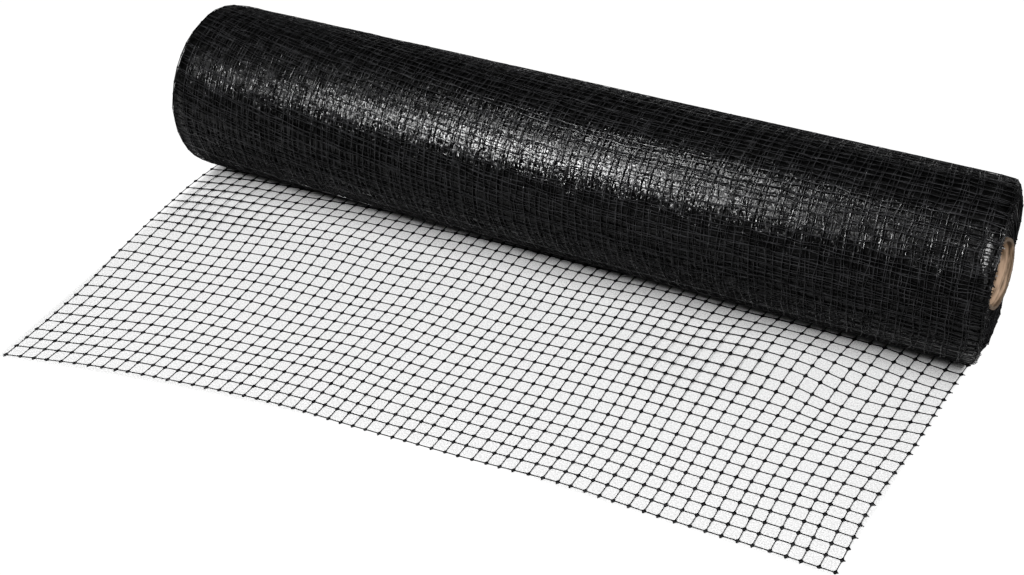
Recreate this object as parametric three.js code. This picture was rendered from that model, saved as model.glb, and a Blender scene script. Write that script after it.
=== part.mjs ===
// Roll of plastic mole netting, 1 m wide, lying on its side with its loose end drawn out in front.
// Millimetres, +Z up. X runs along the roll, -Y is the side that the loose end lies on.
// The origin is the middle of the flat line that the roll rests on.

import * as THREE from 'three';
import { mergeVertices } from 'three/addons/utils/BufferGeometryUtils.js';

// Net
const NET_WIDTH = 1000;
const MESHES_ACROSS = 60;
const MESH_PITCH = NET_WIDTH / MESHES_ACROSS;

// Wound roll
const ROLL_RADIUS = 101;
const ROLL_SIDES = 60;
const ROLL_STATIONS = 13;
const FLAT_SIDES = 2;
const FLAT_HALF_ANGLE = (FLAT_SIDES * Math.PI) / ROLL_SIDES;
const AXIS_HEIGHT = ROLL_RADIUS * Math.cos(FLAT_HALF_ANGLE);
const SWELL_FADE_ANGLE = 5 * FLAT_HALF_ANGLE;
const SEAM_MERGE = 0.001;

// Cardboard core
const CORE_RADIUS = 38.4;
const CORE_WALL = 3.6;
const CORE_REACH = 16;
const CORE_EDGE = 0.6;

// Loose end of the net
const SHEET_THICK = 1.2;
const STRAND_WIDTH = 2.2;
const CUT_PITCH = 2 * MESH_PITCH;
const CUT_COLUMNS = MESHES_ACROSS / 2;
const CUT_ROWS = 10;
const PLAIN_STEPS = 3;
const FRONT_EDGE_Y = -378;
const FRONT_SWEEP = { startX: 153, spanX: 650, reachY: 74, power: 1.9 };

// Pieces that touch stand this far apart
const PIECE_GAP = 0.3;
const SHEET_BACK_Y = -Math.sqrt(ROLL_RADIUS ** 2 - (AXIS_HEIGHT - SHEET_THICK - PIECE_GAP) ** 2);

// Wound end from the rim in to the bore: how far the turns stand past the net's half width
const END_TURNS = [
  { radius: ROLL_RADIUS, reach: -4 },
  { radius: 100, reach: -1.5 },
  { radius: 97, reach: 0.8 },
  { radius: 92, reach: 2.6 },
  { radius: 85, reach: 3.4 },
  { radius: 79, reach: 6.2 },
  { radius: 70, reach: 7.2 },
  { radius: 64, reach: 9.6 },
  { radius: 54, reach: 10.6 },
  { radius: 49, reach: 12.4 },
  { radius: CORE_RADIUS + PIECE_GAP, reach: 13.2 },
];

// At the right end the outer turns lean out on the front, past the core's cut edge
const END_LEAN = { reach: 29, startX: 100, angle: THREE.MathUtils.degToRad(-113) };

// Slow swells of the outer turns: height, waves along the roll, waves around it and their start
const ROLL_SWELLS = [
  { height: 0.5, wavesAlong: 1.5, wavesAround: 2, start: 0.4 },
  { height: 0.35, wavesAlong: 3.5, wavesAround: 3, start: 1.9 },
];

// Soft folds of the loose end: middle, half size each way and height above the floor
const SHEET_FOLDS = [
  { x: -455, y: -105, halfX: 130, halfY: 82, height: 2 },
  { x: 222, y: -140, halfX: 135, halfY: 100, height: 1.5 },
];

// Places where the loose end is drawn out of square: middle, half size each way and movement
const SHEET_PULLS = [
  { x: -340, y: -330, halfX: 300, halfY: 240, moveX: 11, moveY: 6 },
  { x: -440, y: -110, halfX: 230, halfY: 140, moveX: -9, moveY: 8 },
  { x: -480, y: -240, halfX: 260, halfY: 150, moveX: 0, moveY: 12 },
  { x: -500, y: -230, halfX: 60, halfY: 110, moveX: -7, moveY: 3 },
  { x: -280, y: -150, halfX: 150, halfY: 150, moveX: -2, moveY: 8 },
  { x: -180, y: -80, halfX: 300, halfY: 130, moveX: -5, moveY: -1 },
  { x: 40, y: -260, halfX: 190, halfY: 420, moveX: 0, moveY: -9 },
  { x: 200, y: -270, halfX: 430, halfY: 400, moveX: -14, moveY: 0 },
  { x: 260, y: -120, halfX: 330, halfY: 180, moveX: -12, moveY: 2 },
  { x: 150, y: -10, halfX: 480, halfY: 130, moveX: -10, moveY: -6 },
  { x: 320, y: -100, halfX: 110, halfY: 70, moveX: -3, moveY: 7 },
  { x: 430, y: -145, halfX: 80, halfY: 80, moveX: 2, moveY: -10 },
  { x: 420, y: -270, halfX: 220, halfY: 110, moveX: -7, moveY: 1 },
  { x: 495, y: -60, halfX: 90, halfY: 90, moveX: -2, moveY: -10 },
];

const netMaterial = new THREE.MeshStandardMaterial({ color: 0x151517, roughness: 0.4, metalness: 0 });
const coreMaterial = new THREE.MeshStandardMaterial({ color: 0xb2937a, roughness: 0.9, metalness: 0 });

function smoothStep(value) {
  const t = Math.min(Math.max(value, 0), 1);
  return t * t * (3 - 2 * t);
}

// A turned ring lying along X at the roll's axis, from a closed profile of radius against X
function turnedRing(profile) {
  const closed = [...profile, profile[0]];
  const points = closed.map(({ radius, x }) => new THREE.Vector2(radius, x));
  const ring = new THREE.LatheGeometry(points, ROLL_SIDES);
  ring.rotateZ(-Math.PI / 2);
  ring.deleteAttribute('normal');
  ring.deleteAttribute('uv');
  return mergeVertices(ring, SEAM_MERGE);
}

function rollProfile() {
  const halfWidth = NET_WIDTH / 2;
  const rimX = halfWidth + END_TURNS[0].reach;
  const rightEnd = END_TURNS.map(({ radius, reach }) => ({ radius, x: halfWidth + reach }));
  const leftEnd = rightEnd.map(({ radius, x }) => ({ radius, x: -x })).reverse();
  const side = [];
  for (let i = 1; i < ROLL_STATIONS; i += 1) {
    side.push({ radius: ROLL_RADIUS, x: rimX * ((2 * i) / ROLL_STATIONS - 1) });
  }
  return [...leftEnd, ...side, ...rightEnd];
}

function swellHeight(x, angle) {
  let height = 0;
  for (const swell of ROLL_SWELLS) {
    const along = Math.cos((Math.PI * swell.wavesAlong * x) / NET_WIDTH + swell.start);
    const around = Math.cos(swell.wavesAround * angle + swell.start);
    height += swell.height * along * around;
  }
  return height;
}

function endLean(x, angle) {
  const along = smoothStep((x - END_LEAN.startX) / (NET_WIDTH / 2 - END_LEAN.startX));
  return END_LEAN.reach * along * smoothStep(Math.cos(angle - END_LEAN.angle));
}

// Swells and leans the outer turns, then presses the lowest ones flat
function settleRoll(geometry) {
  const position = geometry.attributes.position;
  for (let i = 0; i < position.count; i += 1) {
    const x = position.getX(i);
    const y = position.getY(i);
    const z = position.getZ(i);
    const radius = Math.hypot(y, z);
    const angle = Math.atan2(y, -z);
    const outer = smoothStep((radius - CORE_RADIUS) / (ROLL_RADIUS - CORE_RADIUS));
    const clearOfFloor = smoothStep(Math.abs(angle) / SWELL_FADE_ANGLE - 1);
    const scale = 1 + (outer * clearOfFloor * swellHeight(x, angle)) / radius;
    const leantX = x + outer * endLean(x, angle);
    position.setXYZ(i, leantX, y * scale, Math.max(z * scale, -AXIS_HEIGHT));
  }
  return geometry;
}

function coreProfile() {
  const end = NET_WIDTH / 2 + CORE_REACH;
  const inner = CORE_RADIUS - CORE_WALL;
  const rightEnd = [
    { radius: CORE_RADIUS, x: end - CORE_EDGE },
    { radius: CORE_RADIUS - CORE_EDGE, x: end },
    { radius: inner + CORE_EDGE, x: end },
    { radius: inner, x: end - CORE_EDGE },
  ];
  const leftEnd = rightEnd.map(({ radius, x }) => ({ radius, x: -x })).reverse();
  return [...leftEnd, ...rightEnd];
}

// The front edge is pulled forward towards the left
function frontEdgeY(x) {
  const { startX, spanX, reachY, power } = FRONT_SWEEP;
  const share = Math.max(startX - x, 0) / spanX;
  return FRONT_EDGE_Y - reachY * share ** power;
}

// 1 in the middle of a fold or pull, falling to 0 at its edge
function spotShare(x, y, spot) {
  const apart = ((x - spot.x) / spot.halfX) ** 2 + ((y - spot.y) / spot.halfY) ** 2;
  return Math.max(1 - apart, 0) ** 2;
}

function foldHeight(x, y) {
  let height = 0;
  for (const fold of SHEET_FOLDS) {
    height += fold.height * spotShare(x, y, fold);
  }
  return height;
}

function drawnOutOfSquare(x, y) {
  const drawn = { x, y };
  for (const pull of SHEET_PULLS) {
    const share = spotShare(x, y, pull);
    drawn.x += pull.moveX * share;
    drawn.y += pull.moveY * share;
  }
  return drawn;
}

// Both edges of each strand, as distances from the first edge
function strandLines(count, pitch) {
  const lines = [];
  for (let i = 0; i <= count; i += 1) {
    lines.push(i * pitch, i * pitch + STRAND_WIDTH);
  }
  return lines;
}

// Distances across the net, and points along it as a distance from the front edge
// or, past the last strand, a share of what is left up to the roll
function sheetLines() {
  const across = strandLines(CUT_COLUMNS, (NET_WIDTH - STRAND_WIDTH) / CUT_COLUMNS);
  const along = strandLines(CUT_ROWS, CUT_PITCH).map((length) => ({ length, share: 0 }));
  const last = along[along.length - 1].length;
  for (let step = 1; step <= PLAIN_STEPS; step += 1) {
    along.push({ length: last, share: step / PLAIN_STEPS });
  }
  return { across, along };
}

// A net lying on the floor: square gaps between strands, and a plain strip next to the roll
function netSheet() {
  const { across, along } = sheetLines();
  const corners = [];
  for (const { length, share } of along) {
    for (const distance of across) {
      const squareX = distance - NET_WIDTH / 2;
      const { x, y: cutY } = drawnOutOfSquare(squareX, frontEdgeY(squareX) + length);
      const y = THREE.MathUtils.lerp(cutY, SHEET_BACK_Y, share);
      const z = foldHeight(x, y);
      corners.push(x, y, z, x, y, z + SHEET_THICK);
    }
  }

  const columns = across.length - 1;
  const rows = along.length - 1;
  const isNet = (column, row) => {
    if (column < 0 || row < 0 || column >= columns || row >= rows) {
      return false;
    }
    const betweenStrands = column % 2 === 1 && row % 2 === 1;
    return !betweenStrands || row > 2 * CUT_ROWS;
  };
  const under = (column, row) => 2 * (row * across.length + column);
  const over = (column, row) => under(column, row) + 1;

  const faces = [];
  const addQuad = (a, b, c, d) => faces.push(a, b, c, a, c, d);
  const addWall = (fromColumn, fromRow, toColumn, toRow) => {
    addQuad(
      under(fromColumn, fromRow), under(toColumn, toRow),
      over(toColumn, toRow), over(fromColumn, fromRow),
    );
  };
  for (let row = 0; row < rows; row += 1) {
    for (let column = 0; column < columns; column += 1) {
      if (!isNet(column, row)) {
        continue;
      }
      const right = column + 1;
      const back = row + 1;
      addQuad(over(column, row), over(right, row), over(right, back), over(column, back));
      addQuad(under(column, row), under(column, back), under(right, back), under(right, row));
      if (!isNet(column, row - 1)) {
        addWall(column, row, right, row);
      }
      if (!isNet(right, row)) {
        addWall(right, row, right, back);
      }
      if (!isNet(column, back)) {
        addWall(right, back, column, back);
      }
      if (!isNet(column - 1, row)) {
        addWall(column, back, column, row);
      }
    }
  }

  const sheet = new THREE.BufferGeometry();
  sheet.setAttribute('position', new THREE.Float32BufferAttribute(corners, 3));
  sheet.setIndex(faces);
  return sheet;
}

function namedMesh(name, geometry, material) {
  geometry.computeVertexNormals();
  const mesh = new THREE.Mesh(geometry, material);
  mesh.name = name;
  return mesh;
}

// The roll and its core share one axis
const woundRoll = new THREE.Group();
woundRoll.position.z = AXIS_HEIGHT;
woundRoll.add(namedMesh('net_roll', settleRoll(turnedRing(rollProfile())), netMaterial));
woundRoll.add(namedMesh('core_tube', turnedRing(coreProfile()), coreMaterial));

const netting = new THREE.Group();
netting.add(woundRoll);
netting.add(namedMesh('loose_end', netSheet(), netMaterial));

export default netting;
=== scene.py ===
import math

import bpy
import numpy as np
from bpy.props import FloatProperty, FloatVectorProperty, IntProperty, PointerProperty
from mathutils import Matrix, Vector


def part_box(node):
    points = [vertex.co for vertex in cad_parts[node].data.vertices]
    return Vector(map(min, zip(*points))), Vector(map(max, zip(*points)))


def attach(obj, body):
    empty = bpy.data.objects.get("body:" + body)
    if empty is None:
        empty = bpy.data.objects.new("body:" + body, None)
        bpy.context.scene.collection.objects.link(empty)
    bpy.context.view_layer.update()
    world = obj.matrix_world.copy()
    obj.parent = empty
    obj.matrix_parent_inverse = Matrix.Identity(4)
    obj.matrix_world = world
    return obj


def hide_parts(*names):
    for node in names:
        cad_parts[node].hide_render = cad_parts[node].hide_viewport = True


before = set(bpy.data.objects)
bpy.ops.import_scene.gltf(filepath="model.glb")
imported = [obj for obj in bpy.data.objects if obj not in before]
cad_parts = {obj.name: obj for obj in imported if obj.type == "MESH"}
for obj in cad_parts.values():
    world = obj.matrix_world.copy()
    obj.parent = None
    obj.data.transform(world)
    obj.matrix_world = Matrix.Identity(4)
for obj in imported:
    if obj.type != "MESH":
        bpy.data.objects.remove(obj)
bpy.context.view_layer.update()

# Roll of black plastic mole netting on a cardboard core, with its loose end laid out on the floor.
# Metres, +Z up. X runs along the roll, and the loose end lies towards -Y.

bl_info = {
    "name": "Roll of mole netting",
    "version": (1, 0, 0),
    "blender": (4, 5, 0),
    "location": "View3D > Sidebar > Net roll",
    "description": "Winds a roll of square plastic net on a core and lays out its loose end",
    "category": "Object",
}

MM = 0.001
BODY = "root"

CORE_LOW, CORE_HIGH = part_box("core_tube")
AXIS_HEIGHT = (CORE_LOW.z + CORE_HIGH.z) / 2
CORE_RADIUS = (CORE_HIGH.z - CORE_LOW.z) / 2


def table(columns, *rows):
    """Rows of values, each with its columns' names."""
    return [dict(zip(columns, row)) for row in rows]


# Soft folds of the loose end, in millimetres: middle, half size each way and height
FOLDS = table(
    ("x", "y", "half_x", "half_y", "height"),
    (-455, -105, 130, 82, 2),
    (222, -140, 135, 100, 1.5),
)

# Places where the net is drawn out of square, in millimetres: middle, half size and movement
PULLS = table(
    ("x", "y", "half_x", "half_y", "move_x", "move_y"),
    (-340, -330, 300, 240, 11, 6),
    (-440, -110, 230, 140, -9, 8),
    (-480, -240, 260, 150, 0, 12),
    (-500, -230, 60, 110, -7, 3),
    (-280, -150, 150, 150, -2, 8),
    (-180, -80, 300, 130, -5, -1),
    (40, -260, 190, 420, 0, -9),
    (200, -270, 430, 400, -14, 0),
    (260, -120, 330, 180, -12, 2),
    (150, -10, 480, 130, -10, -6),
    (320, -100, 110, 70, -3, 7),
    (430, -145, 80, 80, 2, -10),
    (420, -270, 220, 110, -7, 1),
    (495, -60, 90, 90, -2, -10),
)

# Slow waves of the strands: height in millimetres, radians for each metre across and along the
# net, and radians at the start
WAVE_COLUMNS = ("height", "across", "along", "start")
ROW_WAVES = table(WAVE_COLUMNS, (0.9, 13.0, 9.0, 0.0), (0.6, 31.0, -14.0, 1.0))
COLUMN_WAVES = table(WAVE_COLUMNS, (0.9, 7.0, 11.0, 0.0), (0.5, -9.0, 27.0, 2.0))

# Shift of the net from turn to turn: the widest as a share of a mesh, the step to the next turn as
# a share of that, and the share of a turn in which it happens
SHIFT_WIDTH = 0.55
SHIFT_STEP = 0.618
SHIFT_SPAN = 0.4

# Wander of the net within its turns: share of the drift, waves for each radian, and start
WANDER_WAVES = table(
    ("share", "pace", "start"),
    (1.0, 1.37, 0.0),
    (0.7, 0.53, 1.1),
    (0.35, 3.1, 0.0),
)

# Share of shift and wander that the net's edges don't follow, and how suddenly that sets in
EDGE_HOLD = 0.9
EDGE_POWER = 16

# Lean of the right end: where along the roll it starts, the angle where it is widest, and its
# share at angles in degrees. Angles run from the roll's lowest line towards the back
LEAN_START = 0.1
LEAN_ANGLE = math.radians(-121)
LEAN_SHARES = (
    (-180, 0.8), (-150, 0.97), (-121, 1.0), (-100, 0.98), (-80, 0.9), (-60, 0.66),
    (-45, 0.36), (-20, 0.0), (0, 0.07), (20, 0.02), (45, -0.13), (70, -0.12),
    (100, 0.06), (130, 0.14), (150, 0.32), (180, 0.8),
)

# Wound edges at both ends: height and spacing of their slight steps, and height and width of the
# lip that they form at the core
STEP_HEIGHT = 0.8 * MM
STEP_SPACING = 15 * MM
LIP_HEIGHT = 2.5 * MM
LIP_WIDTH = 4 * MM

# Points of a strand beside each knot, as shares of the knot's half length, and the least distance
# of these points from the strand's ends
LOOSE_STEPS = (-1.0, -0.5, 0.0, 0.5, 1.0)
WOUND_STEPS = (-1.0, 0.0, 1.0)
SHORTEST_STEP = 0.4 * MM

# Kinds of plastic: flat and glossy, round and dull, in the lower turns, or packed under them all.
# Roughness where clean and rubbed, shares of gloss and colour, and the patches in which strands
# lean alike: millimetres along and around the roll, and how far they lean. The colour shares
# paint light and shade by depth: the outer turns paler as lit, the lower turns and the packed
# body darker as painted shade of the light lost deep in the roll
SHINING, DULL, LOWER, PACKED = range(4)
PLASTICS = table(
    ("name", "clean", "rubbed", "gloss", "colour", "along", "around", "lean"),
    ("flat_strands", 0.21, 0.29, 1.5, 1.45, 3.0, 5.0, 0.9),
    ("round_strands", 0.46, 0.6, 0.5, 1.45, 9.0, 1.7, 0.3),
    ("lower_strands", 0.21, 0.29, 2.05, 0.32, 3.0, 5.0, 0.85),
    ("packed_strands", 0.21, 0.29, 2.05, 0.12, 2.2, 3.6, 0.9),
)

# Parts of the lean along the roll and the two ways across it
LEAN_PARTS = (0.35, 1.0, 1.0)

# Plastic is duller where it is seen aslant: from here, to here (1 is edge-on), and by how much
ASLANT_START = 0.6
ASLANT_END = 0.95
ASLANT_DULLING = 0.35

# Board: the seam's share of its pitch, darkness and depth, the width and raggedness of the darker
# band at the cut ends, and the fibres' stretch, contrast, middle tone and depth
SEAM_SHARE = 0.012
SEAM_DARKNESS = 0.5
SEAM_DEPTH = 2.0
END_DARK_WIDTH = 9.0 * MM
END_DARK_RAGGEDNESS = 2.0 * MM
FIBRE_STRETCH = (1.0, 0.12, 0.12)
FIBRE_CONTRAST = 4.0
FIBRE_MIDDLE = 1.8
FIBRE_DEPTH = 0.25 * MM

# Pale part of the floor in the white backdrop, whose even tone below the backdrop's white is
# painted shade of the net: how fast it narrows behind the roll, how far it lies to the left and
# goes behind, its soft edge and its grain, and how much the backdrop glows
PALE_NARROWING = 0.6
PALE_SHIFT = 4.0 * MM
PALE_BACK = 0.07
PALE_EDGE = 8.0 * MM
GRAIN_RANGE = (0.1, 1.9)
BACKDROP_GLOW = 1.04
BLACK = (0.0, 0.0, 0.0)
WHITE = (1.0, 1.0, 1.0, 1.0)

# Tone curve of the picture, from light that falls in to light shown: a soft toe keeps black dark
COMBINED_CURVE = 3
TONE_CURVE = ((0.008, 0.0028), (0.02, 0.0092), (0.05, 0.036), (0.12, 0.114))

# Disc lights near the roll: place, point that each faces, width and power
DISCS = table(
    ("name", "place", "aim", "width", "power"),
    ("key", (-1.28, -1.72, 1.93), (-0.08, -0.07, 0.17), 0.52, 82),
    ("top", (-1.03, -0.60, 2.68), (0.12, -0.05, 0.19), 0.45, 31),
    ("fill", (1.4, -1.15, 2.0), (0.1, -0.2, 0.0), 1.2, 90),
)

# Soft lights as wide as a part of the sky: the way to each, its width in degrees and its strength
SKY_LIGHTS = table(
    ("name", "towards", "width", "strength"),
    ("side_soft", (0.85, -0.35, 0.40), 40, 0.8),
    ("sky_soft", (0.0, -0.1, 0.995), 90, 0.5),
)

SEED_COLUMNS = 11
SEED_ROWS = 12
SEED_LOOSE = 13
SEED_TURNS = 14
SEED_ENDS = 15
SEED_CORE = 16


class NetSizes(bpy.types.PropertyGroup):
    """Sizes of the net itself"""

    width: FloatProperty(
        name="Width", description="Width of the net", default=1.0, unit="LENGTH"
    )
    meshes: IntProperty(
        name="Meshes across", description="Square meshes across the net", default=60, min=4
    )
    long_strand: FloatProperty(
        name="Long strand", description="Thickness of the strands that run along the net",
        default=0.92 * MM, unit="LENGTH", precision=5,
    )
    cross_strand: FloatProperty(
        name="Cross strand", description="Thickness of the strands that run across the net",
        default=1.1 * MM, unit="LENGTH", precision=5,
    )
    knot: FloatProperty(
        name="Knot", description="Width of the thick spot where two strands cross",
        default=4.6 * MM, unit="LENGTH", precision=5,
    )
    knot_long: FloatProperty(
        name="Knot along", description="Half length of a knot along a long strand",
        default=3.3 * MM, unit="LENGTH", precision=5,
    )
    knot_cross: FloatProperty(
        name="Knot across", description="Half length of a knot along a cross strand",
        default=2.6 * MM, unit="LENGTH", precision=5,
    )
    knot_rise: FloatProperty(
        name="Knot rise", description="How much thicker a knot is than a strand, as a share",
        default=0.3,
    )
    stub: FloatProperty(
        name="Cut stub", description="Longest strand end left past the last strand of an edge",
        default=4.5 * MM, unit="LENGTH", precision=5,
    )
    flatness: FloatProperty(
        name="Flatness", description="Height of a strand as a share of its width", default=0.5
    )
    unevenness: FloatProperty(
        name="Unevenness", description="How far a strand lies from its even place",
        default=0.7 * MM, unit="LENGTH", precision=5,
    )
    bow: FloatProperty(
        name="Bow", description="How far a strand bows up between its knots",
        default=0.15 * MM, unit="LENGTH", precision=5,
    )
    twist: FloatProperty(
        name="Twist", description="How far a strand twists from point to point", subtype="ANGLE",
        default=math.radians(5),
    )


class LooseEndSizes(bpy.types.PropertyGroup):
    """Outline of the loose end"""

    reach: FloatProperty(
        name="Reach", description="From the roll's rest line to the front edge, at the right",
        default=0.378, unit="LENGTH",
    )
    sweep: FloatProperty(
        name="Sweep",
        description="How much further the left corner of the front edge is pulled out",
        default=0.074, unit="LENGTH",
    )
    sweep_start: FloatProperty(
        name="Sweep start", description="Place along the roll where the front edge starts to sweep",
        default=0.153, unit="LENGTH",
    )
    sweep_span: FloatProperty(
        name="Sweep span", description="Length along the roll over which the front edge sweeps",
        default=0.650, unit="LENGTH",
    )
    sweep_power: FloatProperty(
        name="Sweep curve", description="1 is a straight sweep and 2 a round one", default=1.9
    )


class RollSizes(bpy.types.PropertyGroup):
    """Sizes of the wound roll"""

    radius: FloatProperty(
        name="Radius", description="Outer radius of the roll", default=0.101, unit="LENGTH"
    )
    turns: IntProperty(
        name="Turns", description="Turns of net that are wound strand by strand", default=6, min=1
    )
    lit_turns: IntProperty(
        name="Lit turns", description="Turns at the outside that scatter light", default=4, min=1
    )
    knot_share: FloatProperty(
        name="Wound knot", description="Size of a knot where the net is wound tight, as a share",
        default=0.32,
    )
    strand_share: FloatProperty(
        name="Wound strand",
        description="Width of a strand where the net is wound tight, as a share",
        default=0.9,
    )
    glossy_share: FloatProperty(
        name="Glossy share", description="Share of the wound cross strands that lie flat and shine",
        default=0.25,
    )
    tilt: FloatProperty(
        name="Tilt", description="How far a shining cross strand leans", subtype="ANGLE",
        default=math.radians(4),
    )
    disorder: FloatProperty(
        name="Disorder",
        description="How far the knots of the wound net lie from their even places",
        default=1.0 * MM, unit="LENGTH", precision=5,
    )
    turn_gap: FloatProperty(
        name="Turn spacing", description="Distance between two turns of the outer net",
        default=0.45 * MM, unit="LENGTH", precision=5,
    )
    drift: FloatProperty(
        name="Drift", description="How far the net wanders sideways as it is wound",
        default=1.2 * MM, unit="LENGTH", precision=5,
    )
    rim_width: FloatProperty(
        name="Rim width", description="Length at each end over which the rim rounds off",
        default=8 * MM, unit="LENGTH", precision=4,
    )
    rim_drop: FloatProperty(
        name="Rim drop", description="How much smaller the radius is at the net's edge",
        default=1.5 * MM, unit="LENGTH", precision=4,
    )
    end_reach: FloatProperty(
        name="End reach", description="How far the inner turns stand out past the net's half width",
        default=13 * MM, unit="LENGTH", precision=4,
    )
    end_lean: FloatProperty(
        name="End lean", description="How far the outer turns lean out at the right end",
        default=33.5 * MM, unit="LENGTH", precision=4,
    )
    edge_gap: FloatProperty(
        name="Edge spacing", description="Distance between two net edges on the wound end",
        default=0.85 * MM, unit="LENGTH", precision=5,
    )


class CoreSizes(bpy.types.PropertyGroup):
    """Sizes of the cardboard core"""

    wall: FloatProperty(
        name="Wall", description="Thickness of the core's wall", default=3.6 * MM,
        unit="LENGTH", precision=4,
    )
    plies: IntProperty(
        name="Plies", description="Layers of board that show at the cut edge", default=5, min=2
    )
    ply_step: FloatProperty(
        name="Ply step", description="How far the plies stand past each other at the cut edge",
        default=0.25 * MM, unit="LENGTH", precision=5,
    )
    seam_pitch: FloatProperty(
        name="Seam pitch", description="Length of core for one turn of the spiral seam",
        default=0.105, unit="LENGTH",
    )


class Finishes(bpy.types.PropertyGroup):
    """Colours and gloss of the materials"""

    plastic: FloatVectorProperty(
        name="Plastic", description="Black plastic of the net", subtype="COLOR",
        default=(0.0045, 0.0045, 0.0047), min=0, max=1,
    )
    plastic_worn: FloatVectorProperty(
        name="Rubbed plastic", description="Paler, rubbed or dusty plastic", subtype="COLOR",
        default=(0.011, 0.011, 0.0115), min=0, max=1,
    )
    gloss: FloatProperty(
        name="Gloss", description="How much the plastic mirrors", default=0.135, min=0, max=1
    )
    board: FloatVectorProperty(
        name="Board", description="Brown board of the core", subtype="COLOR",
        default=(0.29, 0.2, 0.136), min=0, max=1,
    )
    board_dark: FloatVectorProperty(
        name="Board at the cut ends", description="Darker board near the cut edge", subtype="COLOR",
        default=(0.06, 0.04, 0.025), min=0, max=1,
    )
    floor: FloatVectorProperty(
        name="Floor", description="Pale floor under the roll", subtype="COLOR",
        default=(0.35, 0.35, 0.35), min=0, max=1,
    )


class StageSettings(bpy.types.PropertyGroup):
    """Camera and light"""

    camera: FloatVectorProperty(
        name="Camera", description="Place of the camera", subtype="TRANSLATION", unit="LENGTH",
        default=(1.1239, -1.7431, 1.4849),
    )
    heading: FloatProperty(
        name="Heading", description="Camera's turn from +Y towards +X", subtype="ANGLE",
        default=math.radians(-35.11),
    )
    pitch: FloatProperty(
        name="Pitch", description="How far the camera looks down", subtype="ANGLE",
        default=math.radians(36.67),
    )
    tilt: FloatProperty(
        name="Tilt", description="Camera's turn about its own line of sight", subtype="ANGLE",
        default=math.radians(-7.23),
    )
    lens: FloatProperty(
        name="Lens", description="Focal length on a sensor 36 mm wide", default=76.33
    )
    lamp: FloatVectorProperty(
        name="End lamp", description="Place of the lamp that shines into the core",
        subtype="TRANSLATION", unit="LENGTH", default=(1.5, -0.75, 0.17),
    )
    lamp_power: FloatProperty(
        name="End lamp power", description="Power of the lamp that shines into the core",
        default=2.5, unit="POWER",
    )
    sky: FloatProperty(
        name="Surround", description="Strength of the even white surround", default=0.15
    )


class NetRollSettings(bpy.types.PropertyGroup):
    """All settings of the roll of netting"""

    net: PointerProperty(type=NetSizes)
    loose: PointerProperty(type=LooseEndSizes)
    roll: PointerProperty(type=RollSizes)
    core: PointerProperty(type=CoreSizes)
    finish: PointerProperty(type=Finishes)
    stage: PointerProperty(type=StageSettings)


def settings():
    return bpy.context.scene.net_roll


def smooth_step(value):
    share = np.clip(value, 0.0, 1.0)
    return share * share * (3 - 2 * share)


def unit(vectors):
    return vectors / np.maximum(np.linalg.norm(vectors, axis=-1, keepdims=True), 1e-12)


class StrandBatch:
    """Gathers closed strands as arrays, to be joined into one mesh."""

    sides = 4

    def __init__(self):
        self.turn = 2 * np.pi * (np.arange(self.sides) + 0.5) / self.sides
        self.reach = 1 / math.cos(math.pi / self.sides)
        self.points = []
        self.faces = []
        self.kinds = []
        self.count = 0

    def add(self, path, up, half_wide, half_high, twist, kind):
        """A strand along path with its flat side up, and half sizes and a twist at each point."""
        along = unit(np.gradient(path, axis=0))
        level = unit(np.cross(along, up))
        upright = np.cross(level, along)
        across = level * np.cos(twist)[:, None] + upright * np.sin(twist)[:, None]
        lift = np.cross(across, along)
        wide = (self.reach * half_wide)[:, None] * np.cos(self.turn)[None, :]
        high = (self.reach * half_high)[:, None] * np.sin(self.turn)[None, :]
        sideways = wide[..., None] * across[:, None, :]
        ring = path[:, None, :] + sideways + high[..., None] * lift[:, None, :]
        index = self.count + np.arange(ring.shape[0] * ring.shape[1]).reshape(ring.shape[:2])
        beside = np.roll(index, -1, axis=1)
        quads = np.stack([index[:-1], index[1:], beside[1:], beside[:-1]], axis=-1)
        self.points.append(ring.reshape(-1, 3))
        self.faces.extend(quads.reshape(-1, 4).tolist())
        self.faces.append(index[0].tolist())
        self.faces.append(index[-1][::-1].tolist())
        self.kinds.extend([kind] * (quads.shape[0] * quads.shape[1] + 2))
        self.count += index.size


def joined_object(name, points, faces, material, smooth=None):
    mesh = bpy.data.meshes.new(name)
    mesh.from_pydata(points, [], faces)
    mesh.polygons.foreach_set("use_smooth", smooth or [True] * len(faces))
    mesh.update()
    piece = bpy.data.objects.new(name, mesh)
    bpy.context.scene.collection.objects.link(piece)
    mesh.materials.append(material)
    return piece


def strand_object(name, batch):
    """One piece of all strands in a batch, with a material for each kind."""
    rounded = [kind == DULL for kind in batch.kinds]
    points = np.concatenate(batch.points)
    piece = joined_object(name, points, batch.faces, black_plastic(SHINING), rounded)
    for kind in (DULL, LOWER):
        piece.data.materials.append(black_plastic(kind))
    piece.data.polygons.foreach_set("material_index", batch.kinds)
    return piece


def ring_object(name, points, material):
    """One closed piece of rings of points, whose last ring meets the first."""
    rings, around = points.shape[:2]
    index = np.arange(rings * around).reshape(rings, around)
    ahead = np.roll(index, -1, axis=0)
    faces = np.stack([index, np.roll(index, -1, 1), np.roll(ahead, -1, 1), ahead], axis=-1)
    return joined_object(name, points.reshape(-1, 3), faces.reshape(-1, 4).tolist(), material)


def ring_angles(count):
    return 2 * np.pi * np.arange(count) / count


def seat(piece, node):
    """Makes a piece move with the roll and stand for the solid that it details."""
    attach(piece, BODY)
    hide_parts(node)


# Layout of the net: u runs across it, and v along it from the front edge


def net_width():
    return settings().net.width


def mesh_pitch():
    return net_width() / settings().net.meshes


def column_places():
    """Places of the long strands across the net, a little uneven."""
    count = settings().net.meshes + 1
    noise = np.random.default_rng(SEED_COLUMNS).normal(0, settings().net.unevenness, count)
    noise[[0, -1]] = 0
    return np.arange(count) * mesh_pitch() - net_width() / 2 + noise


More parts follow.
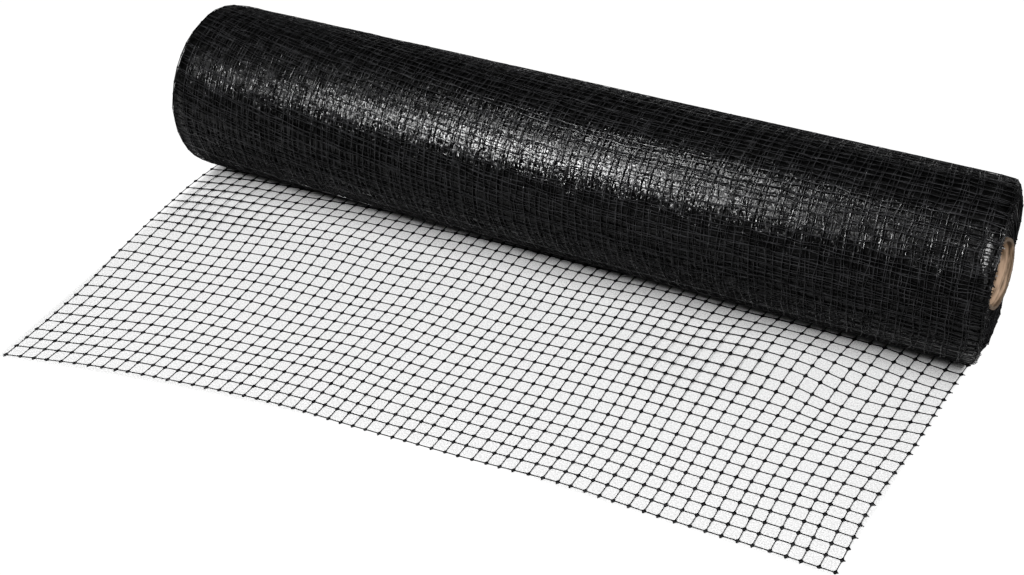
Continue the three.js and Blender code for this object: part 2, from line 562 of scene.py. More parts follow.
def row_places(length):
    """Places of the cross strands along a length of net, a little uneven."""
    count = int(length / mesh_pitch()) + 1
    noise = np.random.default_rng(SEED_ROWS).normal(0, settings().net.unevenness, count)
    places = np.arange(count) * mesh_pitch() + noise
    return places - places[0]


def loose_reach(u):
    """Length of net from the front edge to the roll's rest line."""
    loose = settings().loose
    share = np.maximum(loose.sweep_start - u, 0) / loose.sweep_span
    return loose.reach + loose.sweep * share**loose.sweep_power


def net_wave(waves, u, v):
    """Slow waves that the strands make in the net."""
    return MM * sum(
        wave["height"] * np.sin(wave["across"] * u + wave["along"] * v + wave["start"])
        for wave in waves
    )


def spot_share(x, y, spot):
    """1 in the middle of a fold or pull, falling to 0 at its edge."""
    apart_x = (x - spot["x"] * MM) / (spot["half_x"] * MM)
    apart_y = (y - spot["y"] * MM) / (spot["half_y"] * MM)
    return np.maximum(1 - apart_x**2 - apart_y**2, 0) ** 2


def fold_height(x, y):
    return sum(fold["height"] * MM * spot_share(x, y, fold) for fold in FOLDS)


def net_layout(u, v):
    """Place of a net point across the net, and its distance past the roll's rest line."""
    square = v - loose_reach(u)
    x = u + net_wave(COLUMN_WAVES, u, v)
    y = square + net_wave(ROW_WAVES, u, v)
    for pull in PULLS:
        share = spot_share(u, square, pull)
        x = x + pull["move_x"] * MM * share
        y = y + pull["move_y"] * MM * share
    return x, y


def lay_on_floor(u, v):
    """Points of the loose end, and the way up at each."""
    x, y = net_layout(u, v)
    z = fold_height(x, y) + knot_height() / 2
    up = np.zeros((len(x), 3))
    up[:, 2] = 1
    return np.stack([x, y, z], axis=-1), up


def drift(angle):
    """Shift and wander of the net as it is wound, so that no two turns lie in line."""
    turn = angle / (2 * np.pi)
    before = np.floor(turn)
    last, coming = (
        SHIFT_WIDTH * mesh_pitch() * ((SHIFT_STEP * number + 0.5) % 1 - 0.5)
        for number in (before, before + 1)
    )
    shift = last + (coming - last) * smooth_step((turn - before) / SHIFT_SPAN)
    wander = sum(
        wave["share"] * np.sin(wave["pace"] * angle + wave["start"]) for wave in WANDER_WAVES
    )
    return shift + settings().roll.drift * wander * smooth_step(angle)


def end_lean(x, angle):
    """How far the turns at the right end lean out, or are drawn in at its far side."""
    along = smooth_step((x - LEAN_START) / (net_width() / 2 - LEAN_START))
    share = np.interp(np.degrees(angle), *zip(*LEAN_SHARES), period=360)
    return along * share * settings().roll.end_lean


def end_reach(radius):
    """How far the wound edges stand past the net's half width at a radius, in slight steps."""
    roll = settings().roll
    inward = (roll.radius - radius) / (roll.radius - CORE_RADIUS)
    steps = STEP_HEIGHT * np.sin(2 * np.pi * radius / STEP_SPACING)
    lip = LIP_HEIGHT * np.exp((CORE_RADIUS - radius) / LIP_WIDTH)
    return roll.end_reach * inward + steps + lip


def outer_share(radius):
    """0 at the core, rising to 1 at the outside of the roll."""
    return smooth_step((radius - CORE_RADIUS) / (settings().roll.radius - CORE_RADIUS))


def turn_radius():
    """Radius that the outer turns are laid out with."""
    return settings().roll.radius - settings().roll.turns / 2 * settings().roll.turn_gap


def way_out(angle):
    """Direction away from the roll's axis."""
    return np.stack([np.zeros_like(angle), np.sin(angle), -np.cos(angle)], axis=-1)


def wind_on_roll(u, v):
    """Points of the wound net, and the way out at each."""
    roll = settings().roll
    x, arc = net_layout(u, v)
    angle = arc / turn_radius()
    free = 1 - EDGE_HOLD * (2 * u / net_width()) ** EDGE_POWER
    x = x + drift(angle) * free + end_lean(x, angle)
    past_rim = np.maximum(np.abs(u) - (net_width() / 2 - roll.rim_width), 0) / roll.rim_width
    half = knot_height() / 2
    depth = half + roll.turn_gap * angle / (2 * np.pi) + roll.rim_drop * past_rim**2
    radius = roll.radius - depth
    settled = half + roll.turn_gap / 2 * np.floor(np.maximum(angle, 0) / (2 * np.pi) + 0.5)
    z = np.maximum(AXIS_HEIGHT - radius * np.cos(angle), settled)
    return np.stack([x, radius * np.sin(angle), z], axis=-1), way_out(angle)


def stations(knots, start, end, half_length, steps):
    """Points along a strand: beside each knot, and at both ends."""
    beside = (knots[:, None] + half_length * np.array(steps)[None, :]).ravel()
    inside = (beside > start + SHORTEST_STEP) & (beside < end - SHORTEST_STEP)
    return np.concatenate([[start], np.sort(beside[inside]), [end]])


def knot_swell(places, knots, half_length):
    """1 on a knot, falling to 0 beside it."""
    nearest = np.abs(places[:, None] - knots[None, :]).min(axis=1)
    return np.maximum(1 - (nearest / half_length) ** 2, 0) ** 2


def knot_height():
    net = settings().net
    return net.flatness * max(net.long_strand, net.cross_strand) * (1 + net.knot_rise)


def strand_course(make, knots, start, end, half_knot, dice):
    """Places along a strand, and how far it swells and lies aside at each."""
    half_length = make["knot"] * half_knot
    places = stations(knots, start, end, half_length, make["steps"])
    swell = knot_swell(places, knots, half_length)
    aside = np.interp(places, knots, dice.normal(0, make["disorder"], len(knots)))
    return places, swell, aside


def add_strand(batch, make, points, width, swell, dice, kind, tilt=0.0):
    """A strand that is wider and higher at its knots, and a little twisted and bowed."""
    net = settings().net
    path, up = points
    path = path + up * (np.abs(dice.normal(0, net.bow, len(path))) * (1 - swell))[:, None]
    width, knot = make["strand"] * width, make["knot"] * net.knot
    half_wide = width / 2 + (knot - width) / 2 * swell
    half_high = net.flatness * width / 2 * (1 + net.knot_rise * swell)
    twist = dice.normal(0, net.twist, len(path)) * (1 - swell) + tilt
    batch.add(path, up, half_wide, half_high, twist, kind)


def add_long_strand(batch, lay, u, rows, start, end, make, dice):
    net = settings().net
    places, swell, aside = strand_course(make, rows, start, end, net.knot_long, dice)
    at_edge = abs(u) > (net_width() - mesh_pitch()) / 2
    kind = make["edge"] if at_edge else make["long"]
    add_strand(batch, make, lay(u + aside, places), net.long_strand, swell, dice, kind)


def add_cross_strand(batch, lay, v, columns, start, end, make, dice):
    net = settings().net
    places, swell, aside = strand_course(make, columns, start, end, net.knot_cross, dice)
    shining = dice.random() < make["glossy"]
    kind = make["long"] if shining else make["cross"]
    tilt = dice.normal(0, make["tilt"]) if shining else 0.0
    add_strand(batch, make, lay(places, v + aside), net.cross_strand, swell, dice, kind, tilt)


# Node groups and materials


def new_group(name, inputs, output, output_type="NodeSocketFloat"):
    """A shader node group with named value inputs and one output, and its two end nodes."""
    group = bpy.data.node_groups.new(name, "ShaderNodeTree")
    for label in inputs:
        group.interface.new_socket(label, in_out="INPUT", socket_type="NodeSocketFloat")
    group.interface.new_socket(output, in_out="OUTPUT", socket_type=output_type)
    return group, group.nodes.new("NodeGroupInput"), group.nodes.new("NodeGroupOutput")


def place_group(tree, group, **values):
    node = tree.nodes.new("ShaderNodeGroup")
    node.node_tree = group
    for key, value in values.items():
        node.inputs[key].default_value = value
    return node


def add_node(tree, kind, values=None, **options):
    """A node with its options, and the values or links of its inputs."""
    node = tree.nodes.new(kind)
    for option, value in options.items():
        setattr(node, option, value)
    for key, value in (values or {}).items():
        if isinstance(value, bpy.types.NodeSocket):
            tree.links.new(value, node.inputs[key])
        else:
            node.inputs[key].default_value = value
    return node


def math_node(tree, operation, first, second=0.0, third=0.0, clamp=False):
    values = {0: first, 1: second, 2: third}
    node = add_node(tree, "ShaderNodeMath", values, operation=operation, use_clamp=clamp)
    return node.outputs[0]


def vector_node(tree, operation, first, second=(0.0, 0.0, 0.0)):
    node = add_node(tree, "ShaderNodeVectorMath", {0: first, 1: second}, operation=operation)
    return node.outputs["Vector"]


def set_range(tree, value, low, high, end=1.0, start=0.0, **options):
    """A value that goes from low to high while the given one goes from start to end."""
    values = {"Value": value, "From Min": start, "From Max": end, "To Min": low, "To Max": high}
    return add_node(tree, "ShaderNodeMapRange", values, **options).outputs["Result"]


def mix_colours(tree, share, first, second):
    node = add_node(tree, "ShaderNodeMix", data_type="RGBA")
    tree.links.new(share, node.inputs["Factor"])
    for key, colour in (("A", first), ("B", second)):
        socket = next(s for s in node.inputs if s.name == key and s.type == "RGBA")
        if isinstance(colour, bpy.types.NodeSocket):
            tree.links.new(colour, socket)
        else:
            socket.default_value = (*colour, 1.0)
    return next(s for s in node.outputs if s.type == "RGBA")


def object_place(tree):
    return add_node(tree, "ShaderNodeTexCoord").outputs["Object"]


def round_place(tree):
    """The place along the roll's axis, and the angle around it."""
    parts = add_node(tree, "ShaderNodeSeparateXYZ", {"Vector": object_place(tree)})
    above = math_node(tree, "SUBTRACT", parts.outputs["Z"], AXIS_HEIGHT)
    return parts.outputs["X"], math_node(tree, "ARCTAN2", parts.outputs["Y"], above)


def uneven_group():
    """Cloudy mask from 0 to 1, for tone and gloss that change over a surface."""
    name = "Uneven tone"
    if name in bpy.data.node_groups:
        return bpy.data.node_groups[name]
    group, start, end = new_group(name, ("Scale", "Sharpness"), "Mask")
    noise = add_node(
        group, "ShaderNodeTexNoise",
        {"Vector": object_place(group), "Scale": start.outputs["Scale"], "Detail": 4.0},
    )
    centred = math_node(group, "SUBTRACT", noise.outputs["Fac"], 0.5)
    contrast = math_node(group, "MULTIPLY_ADD", start.outputs["Sharpness"], 6.0, 1.0)
    mask = math_node(group, "MULTIPLY_ADD", centred, contrast, 0.5, clamp=True)
    group.links.new(mask, end.inputs["Mask"])
    return group


def uneven_lie_group():
    """Surface directions of strands that lean a little, each its own way from place to place."""
    name = "Uneven lie"
    if name in bpy.data.node_groups:
        return bpy.data.node_groups[name]
    labels = ("Along", "Around", "Lean")
    group, start, end = new_group(name, labels, "Normal", "NodeSocketVector")
    x, angle = round_place(group)
    arc = math_node(group, "MULTIPLY", angle, settings().roll.radius)
    patches = add_node(
        group, "ShaderNodeCombineXYZ",
        {
            "X": math_node(group, "DIVIDE", x, start.outputs["Along"]),
            "Y": math_node(group, "DIVIDE", arc, start.outputs["Around"]),
        },
    )
    noise = add_node(
        group, "ShaderNodeTexNoise",
        {"Vector": patches.outputs["Vector"], "Scale": 1.0, "Detail": 2.0},
    )
    centred = vector_node(group, "SUBTRACT", noise.outputs["Color"], (0.5, 0.5, 0.5))
    parts = vector_node(group, "MULTIPLY", centred, LEAN_PARTS)
    lean = vector_node(group, "MULTIPLY", parts, start.outputs["Lean"])
    surface = add_node(group, "ShaderNodeNewGeometry")
    leant = vector_node(group, "ADD", surface.outputs["Normal"], lean)
    group.links.new(vector_node(group, "NORMALIZE", leant), end.inputs["Normal"])
    return group


def new_material(name):
    material = bpy.data.materials.new(name)
    material.use_nodes = True
    tree = material.node_tree
    return material, tree, tree.nodes["Principled BSDF"]


def black_plastic(kind):
    """Black plastic of one kind, with dull rubbed patches and strands that lean unevenly."""
    plastic = PLASTICS[kind]
    name = plastic["name"]
    if name in bpy.data.materials:
        return bpy.data.materials[name]
    finish = settings().finish
    material, tree, surface = new_material(name)
    rubbed = place_group(tree, uneven_group(), Scale=90.0, Sharpness=0.6).outputs["Mask"]
    # The colour share paints light and shade by depth: paler outer turns, darker lower turns and
    # packed body
    shades = (finish.plastic, finish.plastic_worn)
    depth_shaded_tones = [[plastic["colour"] * part for part in shade] for shade in shades]
    tree.links.new(mix_colours(tree, rubbed, *depth_shaded_tones), surface.inputs["Base Color"])
    facing = add_node(tree, "ShaderNodeLayerWeight").outputs["Facing"]
    aslant = set_range(tree, facing, 0.0, ASLANT_DULLING, ASLANT_END, ASLANT_START)
    worn = set_range(tree, rubbed, plastic["clean"], plastic["rubbed"])
    tree.links.new(math_node(tree, "ADD", worn, aslant), surface.inputs["Roughness"])
    patch = {"Along": plastic["along"] * MM, "Around": plastic["around"] * MM}
    lie = place_group(tree, uneven_lie_group(), Lean=plastic["lean"], **patch)
    tree.links.new(lie.outputs["Normal"], surface.inputs["Normal"])
    surface.inputs["Specular IOR Level"].default_value = finish.gloss * plastic["gloss"]
    return material


def core_board():
    """Brown board with fibres, a spiral seam and darker board towards the cut ends."""
    finish = settings().finish
    material, tree, surface = new_material("wound_board")
    x, angle = round_place(tree)
    turns = math_node(tree, "DIVIDE", x, settings().core.seam_pitch)
    spiral = math_node(tree, "MULTIPLY_ADD", angle, 0.5 / math.pi, turns)
    seam = set_range(tree, math_node(tree, "PINGPONG", spiral, 0.5), 1.0, 0.0, SEAM_SHARE)
    stretched = add_node(
        tree, "ShaderNodeMapping", {"Vector": object_place(tree), "Scale": FIBRE_STRETCH}
    )
    fibres = add_node(
        tree, "ShaderNodeTexNoise",
        {"Vector": stretched.outputs["Vector"], "Scale": 300.0, "Detail": 5.0},
    ).outputs["Fac"]
    cloud = place_group(tree, uneven_group(), Scale=60.0, Sharpness=0.4).outputs["Mask"]
    # Board grows darker towards the cut ends, with a ragged edge from a cloudy mask
    from_end = math_node(tree, "SUBTRACT", CORE_HIGH.x, math_node(tree, "ABSOLUTE", x))
    ragged = math_node(tree, "MULTIPLY_ADD", cloud, END_DARK_RAGGEDNESS, from_end)
    end_darkening = set_range(tree, ragged, 1.0, 0.0, END_DARK_WIDTH)
    tone = math_node(tree, "MAXIMUM", end_darkening, math_node(tree, "MULTIPLY", seam, SEAM_DARKNESS))
    fibre_tone = math_node(tree, "MULTIPLY_ADD", fibres, FIBRE_CONTRAST, tone)
    dark = math_node(tree, "SUBTRACT", fibre_tone, FIBRE_MIDDLE, clamp=True)
    colour = mix_colours(tree, dark, finish.board, finish.board_dark)
    tree.links.new(colour, surface.inputs["Base Color"])
    surface.inputs["Roughness"].default_value = 0.85
    height = math_node(tree, "SUBTRACT", fibres, math_node(tree, "MULTIPLY", seam, SEAM_DEPTH))
    bump = add_node(
        tree, "ShaderNodeBump", {"Height": height, "Strength": 0.5, "Distance": FIBRE_DEPTH}
    )
    tree.links.new(bump.outputs["Normal"], surface.inputs["Normal"])
    return material


def floor_paint():
    """Pale grained floor under the net, with the net's painted shade, in an even white backdrop."""
    material, tree, surface = new_material("floor_paint")
    loose = settings().loose
    place = object_place(tree)
    parts = add_node(tree, "ShaderNodeSeparateXYZ", {"Vector": place})
    x, y = parts.outputs["X"], parts.outputs["Y"]
    from_middle = math_node(tree, "ABSOLUTE", math_node(tree, "ADD", x, PALE_SHIFT))
    behind = math_node(tree, "MAXIMUM", y)
    spread = math_node(tree, "MULTIPLY_ADD", behind, PALE_NARROWING, from_middle)
    beside = math_node(tree, "SUBTRACT", spread, net_width() / 2 - PALE_SHIFT)
    left = math_node(tree, "MAXIMUM", math_node(tree, "SUBTRACT", loose.sweep_start, x))
    share = math_node(tree, "DIVIDE", left, loose.sweep_span)
    curve = math_node(tree, "POWER", share, loose.sweep_power)
    swept = math_node(tree, "MULTIPLY", curve, loose.sweep)
    past_reach = math_node(tree, "SUBTRACT", math_node(tree, "MULTIPLY", y, -1.0), loose.reach)
    before = math_node(tree, "SUBTRACT", past_reach, swept)
    past_back = math_node(tree, "SUBTRACT", y, PALE_BACK)
    around = math_node(tree, "MAXIMUM", beside, before)
    outside = math_node(tree, "MAXIMUM", around, past_back)
    backdrop = set_range(tree, outside, 0.0, 1.0, PALE_EDGE, interpolation_type="SMOOTHSTEP")
    grain = add_node(
        tree, "ShaderNodeTexNoise",
        {"Vector": place, "Scale": 650.0, "Detail": 2.0, "Roughness": 0.7},
    )
    shade = set_range(tree, grain.outputs["Fac"], *GRAIN_RANGE)
    # The paint under the net is a little darker than the glowing backdrop: painted shade of the net
    paint = mix_colours(tree, shade, BLACK, settings().finish.floor)
    paint.node.clamp_factor = False
    tree.links.new(mix_colours(tree, backdrop, paint, BLACK), surface.inputs["Base Color"])
    surface.inputs["Roughness"].default_value = 0.9
    surface.inputs["Specular IOR Level"].default_value = 0.1
    surface.inputs["Emission Color"].default_value = WHITE
    glow = math_node(tree, "MULTIPLY", backdrop, BACKDROP_GLOW)
    tree.links.new(glow, surface.inputs["Emission Strength"])
    return material


# Pieces


class NETROLL_OT_lay_loose_end(bpy.types.Operator):
    """Lays the loose end of the net on the floor in front of the roll"""

    bl_idname = "netroll.lay_loose_end"
    bl_label = "Lay loose end"

    # Shortest and longest cut stubs, as shares of a whole one
    front_stubs = (0.4, 0.9)
    left_stubs = (0.3, 0.6)
    right_stubs = (0.6, 1.0)
    # Share of the flat net that is plastic
    plastic_share = 0.3

    def execute(self, context):
        net = settings().net
        make = {
            "steps": LOOSE_STEPS, "strand": 1.0, "knot": 1.0, "disorder": 0.0, "glossy": 0.0,
            "long": SHINING, "cross": DULL, "edge": DULL,
        }
        batch = StrandBatch()
        dice = np.random.default_rng(SEED_LOOSE)
        length = float(loose_reach(-net_width() / 2))
        columns, rows = column_places(), row_places(length)
        for u in columns:
            front = -net.stub * dice.uniform(*self.front_stubs)
            back = float(loose_reach(u))
            add_long_strand(batch, lay_on_floor, u, rows, front, back, make, dice)
        for v in rows:
            on_floor = columns[loose_reach(columns) > v]
            left = columns[0] - net.stub * dice.uniform(*self.left_stubs)
            right = on_floor[-1]
            if len(on_floor) == len(columns):
                right += net.stub * dice.uniform(*self.right_stubs)
            add_cross_strand(batch, lay_on_floor, v, on_floor, left, right, make, dice)
        piece = strand_object("loose_net", batch)
        seat(piece, "loose_end")
        return {"FINISHED"}


class NETROLL_OT_wind_outer_turns(bpy.types.Operator):
    """Winds the outer turns of the net, one piece a turn"""

    bl_idname = "netroll.wind_outer_turns"
    bl_label = "Wind outer turns"

    # Shortest and longest cut stubs, as shares of a whole one, and what is left at the back
    left_stubs = (0.05, 0.15)
    right_stubs = (0.5, 1.0)
    back_share = 0.1

    def execute(self, context):
        net, roll = settings().net, settings().roll
        # The net's edge strands take the darker plastic of the lower turns, which is painted shade
        make = {
            "steps": WOUND_STEPS, "strand": roll.strand_share, "knot": roll.knot_share,
            "disorder": roll.disorder, "glossy": roll.glossy_share, "tilt": roll.tilt,
            "edge": LOWER,
        }
        dice = np.random.default_rng(SEED_TURNS)
        columns = column_places()
        turn_length = 2 * np.pi * turn_radius()
        reach = loose_reach(columns)
        rows = row_places(reach.max() + roll.turns * turn_length)
        middle = rows - loose_reach(np.zeros(1))
        for number in range(roll.turns):
            # Outer turns take the paler plastic and lower turns the darker one: painted light and
            # shade by depth
            lit = number < roll.lit_turns
            make["long"] = SHINING if lit else LOWER
            make["cross"] = DULL if lit else LOWER
            batch = StrandBatch()
            first, last = number * turn_length, (number + 1) * turn_length
            for u, length in zip(columns, reach):
                start, end = length + first, length + last
                near = rows[(rows > start - mesh_pitch()) & (rows < end + mesh_pitch())]
                add_long_strand(batch, wind_on_roll, u, near, start, end, make, dice)
            for v in rows[(middle >= first) & (middle < last)]:
                wound = columns[reach <= v]
                left = wound[0]
                if len(wound) == len(columns):
                    left -= net.stub * dice.uniform(*self.left_stubs)
                angle = (v - loose_reach(wound[-1])) / turn_radius()
                front = smooth_step(np.cos(angle - LEAN_ANGLE))
                stub = self.back_share + (1 - self.back_share) * front
                right = wound[-1] + net.stub * stub * dice.uniform(*self.right_stubs)
                add_cross_strand(batch, wind_on_roll, v, wound, left, right, make, dice)
            piece = strand_object(f"outer_turn_{number + 1}", batch)
            seat(piece, "net_roll")
        return {"FINISHED"}


class NETROLL_OT_pack_inner_turns(bpy.types.Operator):
    """Fills the roll under its outer turns with a body of crowded strands, painted dark as shade"""

    bl_idname = "netroll.pack_inner_turns"
    bl_label = "Pack inner turns"

    around = 144
    along = 64
    end_rings = 14
    # Turns and lengths left clear under the outer turns, over the core and the floor, and behind
    # the wound edges and the rim
    turns_clear = 0.6
    core_clear = 0.3 * MM
    floor_clear = 3.0 * MM
    edge_clear = 2.0 * MM
    rim_clear = 0.5 * MM
    # Slow swells: height, number around the roll, and radians for each metre along it
    swell_height = 0.4 * MM
    swell_count = 3
    swell_twist = 9.0

    def profile(self):
        roll = settings().roll
        outer = roll.radius - (roll.turns + self.turns_clear) * roll.turn_gap
        end_radius = np.linspace(outer, CORE_RADIUS + self.core_clear, self.end_rings)
        end_x = net_width() / 2 + end_reach(end_radius) - self.edge_clear
        end_x[0] = net_width() / 2 - self.rim_clear
        side_x = np.linspace(-end_x[0], end_x[0], self.along)[1:-1]
        x = np.concatenate([-end_x[::-1], side_x, end_x])
        radius = np.concatenate([end_radius[::-1], np.full_like(side_x, outer), end_radius])
        return x[:, None], radius[:, None]

    def execute(self, context):
        x, radius = self.profile()
        angle = ring_angles(self.around)
        swell = self.swell_height * np.sin(self.swell_count * angle + self.swell_twist * x)
        full = radius + swell * smooth_step(radius / radius.max() * 2 - 1)
        leant = x + end_lean(x, angle) * outer_share(radius)
        z = np.maximum(AXIS_HEIGHT - full * np.cos(angle), self.floor_clear)
        points = np.stack([leant, full * np.sin(angle), z], axis=-1)
        piece = ring_object("inner_turns", points, black_plastic(PACKED))
        seat(piece, "net_roll")
        return {"FINISHED"}


class NETROLL_OT_show_wound_ends(bpy.types.Operator):
    """Winds the net's edges, with their cut stubs, at both ends of the roll"""

    bl_idname = "netroll.show_wound_ends"
    bl_label = "Show wound ends"

    steps_per_turn = 72
    # Turns and lengths left clear under the outer turns, over the core and floor, and at the end
    turns_clear = 0.3
    core_clear = 0.9 * MM
    floor_clear = 2.0 * MM
    end_clear = 1.5 * MM
    # Bends of the edges: radians from one to the next, and how far they go
    bend_step = 0.6
    bend_size = 1.2 * MM
    # What stands out further at the front: all edges, and a lip of some width at the core
    front_size = 1.0 * MM
    front_lip = 3.0 * MM
    front_lip_width = 7 * MM
    # How far round the front the edges shine, from 1 at its middle to 0 at its sides
    shining_front = 0.3
    # Stubs: hidden length, lengths as shares of a whole stub, unevenness as a share of a mesh, how
    # far they bend, where along them and how much of that they bend first, and their taper
    stub_root = 2.5 * MM
    stub_lengths = (0.2, 0.6)
    stub_unevenness = 0.12
    stub_bend = 0.9 * MM
    stub_middle = 0.4
    stub_middle_bend = 0.3
    stub_taper = (1.0, 1.0, 0.85)
    # Shares of the stubs that show away from the right front, and that are dull
    hidden_stubs = 0.12
    dull_stubs = 0.6

    def edge(self, side, dice):
        """The spiral of net edges at one end, from the rim in to the core."""
        roll = settings().roll
        outer = roll.radius - (roll.turns + self.turns_clear) * roll.turn_gap
        inner = CORE_RADIUS + self.core_clear
        turns = int((outer - inner) / roll.edge_gap)
        angle = np.arange(turns * self.steps_per_turn) * 2 * np.pi / self.steps_per_turn
        radius = outer - (outer - inner) * angle / angle[-1]
        bends = np.arange(0, angle[-1] + 1, self.bend_step)
        bend = np.interp(angle, bends, dice.normal(0, 1, len(bends)))
        front = np.cos(angle - LEAN_ANGLE)
        near_core = np.exp((CORE_RADIUS - radius) / self.front_lip_width)
        x = net_width() / 2 + end_reach(radius) - self.end_clear + self.bend_size * bend
        x = x + self.front_lip * smooth_step(front) * near_core + self.front_size * front
        if side > 0:
            x = x + end_lean(x, angle) * outer_share(radius)
        out = way_out(angle)
        z = np.maximum(AXIS_HEIGHT + radius * out[:, 2], self.floor_clear)
        path = np.stack([side * x, radius * out[:, 1], z], axis=-1)
        return path, out, front > self.shining_front

    def add_stubs(self, batch, side, path, out, dice):
        net = settings().net
        steps = np.linalg.norm(np.diff(path, axis=0), axis=1)
        travelled = np.concatenate([[0], np.cumsum(steps)])
        wanted = np.arange(0, travelled[-1], mesh_pitch())
        wanted += dice.normal(0, self.stub_unevenness * mesh_pitch(), len(wanted))
        spots = np.clip(np.searchsorted(travelled, wanted), 1, len(path) - 2)
        frayed = np.where((path[spots, 1] < 0) & (side > 0), 1.0, self.hidden_stubs)
        outward = np.array([side, 0.0, 0.0])
        half = np.array(self.stub_taper) * net.cross_strand / 2
        for spot in spots[dice.random(len(spots)) < frayed]:
            root, up = path[spot], np.repeat(out[spot][None, :], 3, 0)
            length = net.stub * dice.uniform(*self.stub_lengths)
            bend = out[spot] * dice.normal(0, self.stub_bend)
            bend = bend + unit(path[spot + 1] - root) * dice.normal(0, self.stub_bend)
            middle = outward * self.stub_middle * length + self.stub_middle_bend * bend
            bent = [root - outward * self.stub_root, root + middle, root + outward * length + bend]
            twist = dice.normal(0, net.twist, 3)
            kind = DULL if dice.random() < self.dull_stubs else SHINING
            batch.add(np.array(bent), up, half, net.flatness * half, twist, kind)

    def execute(self, context):
        net = settings().net
        dice = np.random.default_rng(SEED_ENDS)
        for name, side in (("left_end_turns", -1), ("right_end_turns", 1)):
            batch = StrandBatch()
            path, out, shining = self.edge(side, dice)
            half = np.full(len(path), net.long_strand / 2)
            twist = dice.normal(0, net.twist, len(path))
            cuts = np.flatnonzero(np.diff(shining)) + 1
            for part in np.split(np.arange(len(path)), cuts):
                part = np.unique(np.append(part, min(part[-1] + 1, len(path) - 1)))
                high = net.flatness * half[part]
                kind = SHINING if shining[part[0]] else DULL
                batch.add(path[part], out[part], half[part], high, twist[part], kind)
            self.add_stubs(batch, side, path, out, dice)
            piece = strand_object(name, batch)
            seat(piece, "net_roll")
        return {"FINISHED"}


class NETROLL_OT_fit_core(bpy.types.Operator):
    """Fits the cardboard core, with its plies at both cut ends"""

    bl_idname = "netroll.fit_core"
    bl_label = "Fit core"

    around = 128
    along = 40
    # Cut end: length without other points, frayed length, and how far it frays
    cut_length = 1.2 * MM
    frayed_length = 1.0 * MM
    fray = 0.12 * MM
    # How far the core is out of round, and which way
    oval = 0.25 * MM
    oval_turn = 0.6

    def profile(self):
        """Half of the core's section, from the middle out over the cut end and back inside."""
        core = settings().core
        inner = CORE_RADIUS - core.wall
        side_x = np.linspace(0, CORE_HIGH.x - self.cut_length, self.along // 2)
        edges = np.linspace(CORE_RADIUS, inner, 2 * core.plies)
        steps = np.tile([0.0, 0.0, -1.0, -1.0], core.plies)[: 2 * core.plies] * core.ply_step
        x = np.concatenate([side_x, CORE_HIGH.x + steps, side_x[::-1]])
        outside, inside = np.full_like(side_x, CORE_RADIUS), np.full_like(side_x, inner)
        return x, np.concatenate([outside, edges, inside])

    def execute(self, context):
        x, radius = self.profile()
        x = np.concatenate([x, -x[::-1][1:-1]])[:, None]
        radius = np.concatenate([radius, radius[::-1][1:-1]])[:, None]
        angle = ring_angles(self.around)
        dice = np.random.default_rng(SEED_CORE)
        fray = dice.normal(0, self.fray, (len(x), self.around))
        along = x + fray * (np.abs(x) > CORE_HIGH.x - self.frayed_length)
        full = radius + self.oval * np.cos(2 * angle + self.oval_turn)
        z = AXIS_HEIGHT - full * np.cos(angle)
        points = np.stack([along, full * np.sin(angle), z], axis=-1)
        piece = ring_object("core_board_tube", points, core_board())
        seat(piece, "core_tube")
        return {"FINISHED"}


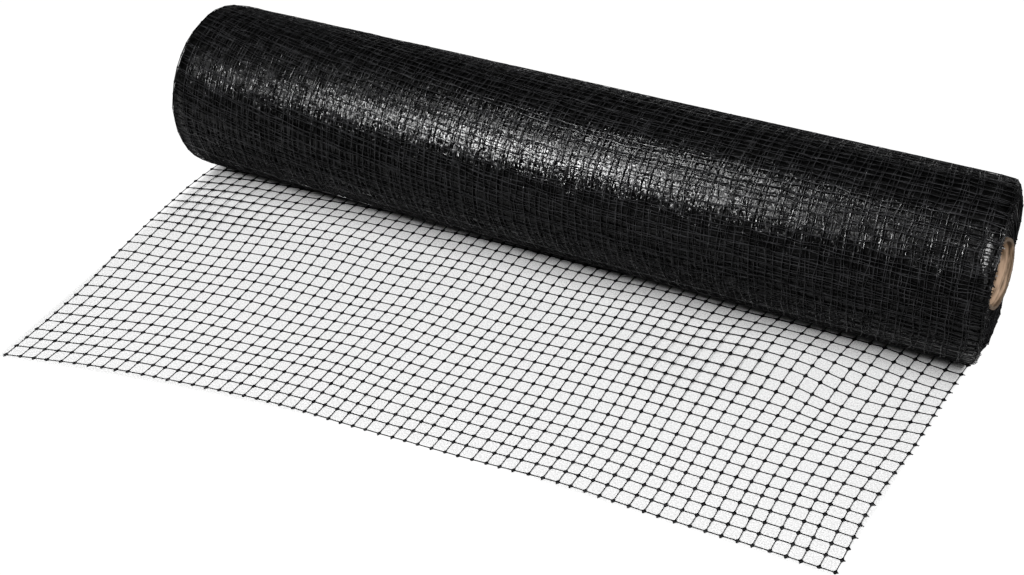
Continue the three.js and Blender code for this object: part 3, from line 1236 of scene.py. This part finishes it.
class NETROLL_OT_set_stage(bpy.types.Operator):
    """Sets the pale floor, the soft light and the camera"""

    bl_idname = "netroll.set_stage"
    bl_label = "Set stage"

    floor_half = 6.0
    sensor_width = 36
    # Lamp that shines into the core: width of its beam, softness and size
    beam = math.radians(5.2)
    beam_softness = 0.6
    lamp_size = 0.1
    sky_distance = 4

    def set_camera(self):
        stage = settings().stage
        ahead, down = math.cos(stage.pitch), math.sin(stage.pitch)
        level = Vector((math.cos(stage.heading), -math.sin(stage.heading), 0))
        forward = Vector((math.sin(stage.heading) * ahead, math.cos(stage.heading) * ahead, -down))
        upright = level.cross(forward)
        right = level * math.cos(stage.tilt) + upright * math.sin(stage.tilt)
        up = upright * math.cos(stage.tilt) - level * math.sin(stage.tilt)
        data = bpy.data.cameras.new("camera")
        data.sensor_fit = "HORIZONTAL"
        data.sensor_width = self.sensor_width
        data.lens = stage.lens
        camera = bpy.data.objects.new("camera", data)
        bpy.context.scene.collection.objects.link(camera)
        turn = Matrix((right, up, -forward)).transposed().to_4x4()
        camera.matrix_world = Matrix.Translation(stage.camera) @ turn
        bpy.context.scene.camera = camera

    def place_lamp(self, data, place, aim):
        lamp = bpy.data.objects.new(data.name, data)
        bpy.context.scene.collection.objects.link(lamp)
        turn = (aim - place).to_track_quat("-Z", "Y").to_matrix().to_4x4()
        lamp.matrix_world = Matrix.Translation(place) @ turn

    def add_lights(self):
        stage = settings().stage
        for disc in DISCS:
            data = bpy.data.lights.new(disc["name"], "AREA")
            data.shape = "DISK"
            data.size = disc["width"]
            data.energy = disc["power"]
            self.place_lamp(data, Vector(disc["place"]), Vector(disc["aim"]))
        end = bpy.data.lights.new("end_lamp", "SPOT")
        end.spot_size = self.beam
        end.spot_blend = self.beam_softness
        end.shadow_soft_size = self.lamp_size
        end.energy = stage.lamp_power
        self.place_lamp(end, Vector(stage.lamp), Vector((CORE_HIGH.x, 0, AXIS_HEIGHT)))
        for light in SKY_LIGHTS:
            data = bpy.data.lights.new(light["name"], "SUN")
            data.angle = math.radians(light["width"])
            data.energy = light["strength"]
            self.place_lamp(data, self.sky_distance * Vector(light["towards"]), Vector((0, 0, 0)))

    def set_surround(self):
        world = bpy.data.worlds.new("surround")
        world.use_nodes = True
        background = world.node_tree.nodes["Background"]
        background.inputs["Color"].default_value = WHITE
        background.inputs["Strength"].default_value = settings().stage.sky
        bpy.context.scene.world = world

    def set_tones(self):
        view = bpy.context.scene.view_settings
        view.view_transform = "Standard"
        view.use_curve_mapping = True
        for shown in TONE_CURVE:
            view.curve_mapping.curves[COMBINED_CURVE].points.new(*shown)
        view.curve_mapping.update()

    def execute(self, context):
        half = self.floor_half
        corners = [(-half, -half, 0), (half, -half, 0), (half, half, 0), (-half, half, 0)]
        floor = joined_object("floor", corners, [(0, 1, 2, 3)], floor_paint())
        self.set_camera()
        self.add_lights()
        self.set_surround()
        self.set_tones()
        return {"FINISHED"}


class NETROLL_PT_sidebar(bpy.types.Panel):
    """Lists the pieces and their settings"""

    bl_idname = "NETROLL_PT_sidebar"
    bl_label = "Roll of mole netting"
    bl_space_type = "VIEW_3D"
    bl_region_type = "UI"
    bl_category = "Net roll"

    def draw(self, context):
        for operator in OPERATORS:
            self.layout.operator(operator.bl_idname)
        for name in NetRollSettings.__annotations__:
            group = getattr(context.scene.net_roll, name)
            box = self.layout.box()
            for key in group.__annotations__:
                box.prop(group, key)


OPERATORS = (
    NETROLL_OT_set_stage,
    NETROLL_OT_fit_core,
    NETROLL_OT_pack_inner_turns,
    NETROLL_OT_show_wound_ends,
    NETROLL_OT_wind_outer_turns,
    NETROLL_OT_lay_loose_end,
)
GROUPS = (
    NetSizes, LooseEndSizes, RollSizes, CoreSizes, Finishes, StageSettings, NetRollSettings,
)
CLASSES = (*GROUPS, *OPERATORS, NETROLL_PT_sidebar)


def register():
    for cls in CLASSES:
        bpy.utils.register_class(cls)
    bpy.types.Scene.net_roll = PointerProperty(type=NetRollSettings)


def unregister():
    del bpy.types.Scene.net_roll
    for cls in reversed(CLASSES):
        bpy.utils.unregister_class(cls)


def main():
    register()
    bpy.ops.netroll.set_stage()
    bpy.ops.netroll.fit_core()
    bpy.ops.netroll.pack_inner_turns()
    bpy.ops.netroll.show_wound_ends()
    bpy.ops.netroll.wind_outer_turns()
    bpy.ops.netroll.lay_loose_end()


if __name__ == "__main__":
    main()
